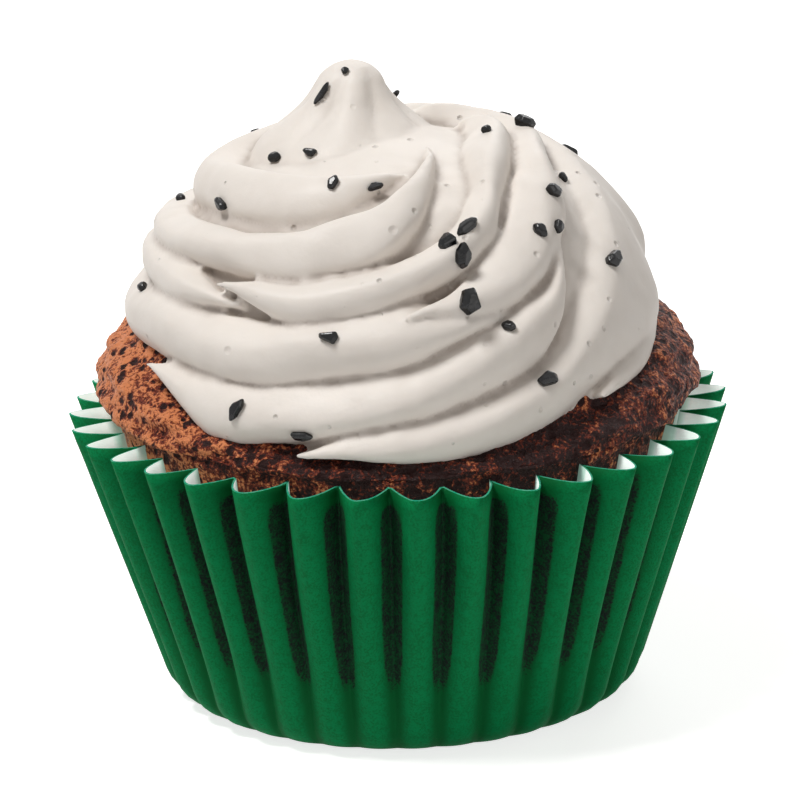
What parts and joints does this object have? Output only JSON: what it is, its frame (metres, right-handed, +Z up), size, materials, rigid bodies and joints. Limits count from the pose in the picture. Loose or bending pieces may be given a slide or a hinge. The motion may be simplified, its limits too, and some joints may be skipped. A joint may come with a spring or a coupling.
{
  "type": "cupcake in paper cup",
  "caption": "Frosted chocolate cupcake in a green pleated paper baking cup, its piped swirl strewn with black sugar crystals.",
  "frame": {"origin": "middle of the flat base of the cup, on the surface it stands on", "axes": "+Z up through the middle of the cup, -Y towards the front, where the lowest ribbon of frosting begins"},
  "size_m": [0.071, 0.071, 0.0686],
  "materials": {
    "paper": "matt greaseproof paper, green outside and pale mint inside",
    "cake": "open dark chocolate crumb",
    "frosting": "soft satin buttercream",
    "sugar": "glossy black sugar crystal"
  },
  "bodies": {
    "root": {"paper_cup": "paper", "cake": "cake", "frosting": "frosting", "sprinkle_01": "sugar", "sprinkle_02": "sugar", "sprinkle_03": "sugar", "sprinkle_04": "sugar", "sprinkle_05": "sugar", "sprinkle_06": "sugar", "sprinkle_07": "sugar", "sprinkle_08": "sugar", "sprinkle_09": "sugar", "sprinkle_10": "sugar", "sprinkle_11": "sugar", "sprinkle_12": "sugar", "sprinkle_13": "sugar", "sprinkle_14": "sugar", "sprinkle_15": "sugar", "sprinkle_16": "sugar", "sprinkle_17": "sugar", "sprinkle_18": "sugar", "sprinkle_19": "sugar", "sprinkle_20": "sugar", "sprinkle_21": "sugar", "sprinkle_22": "sugar", "sprinkle_23": "sugar", "sprinkle_24": "sugar", "sprinkle_25": "sugar", "sprinkle_26": "sugar", "sprinkle_27": "sugar", "sprinkle_28": "sugar", "sprinkle_29": "sugar", "sprinkle_30": "sugar", "sprinkle_31": "sugar", "sprinkle_32": "sugar", "sprinkle_33": "sugar", "sprinkle_34": "sugar", "sprinkle_35": "sugar", "sprinkle_36": "sugar", "sprinkle_37": "sugar", "sprinkle_38": "sugar"}
  },
  "joints": []
}
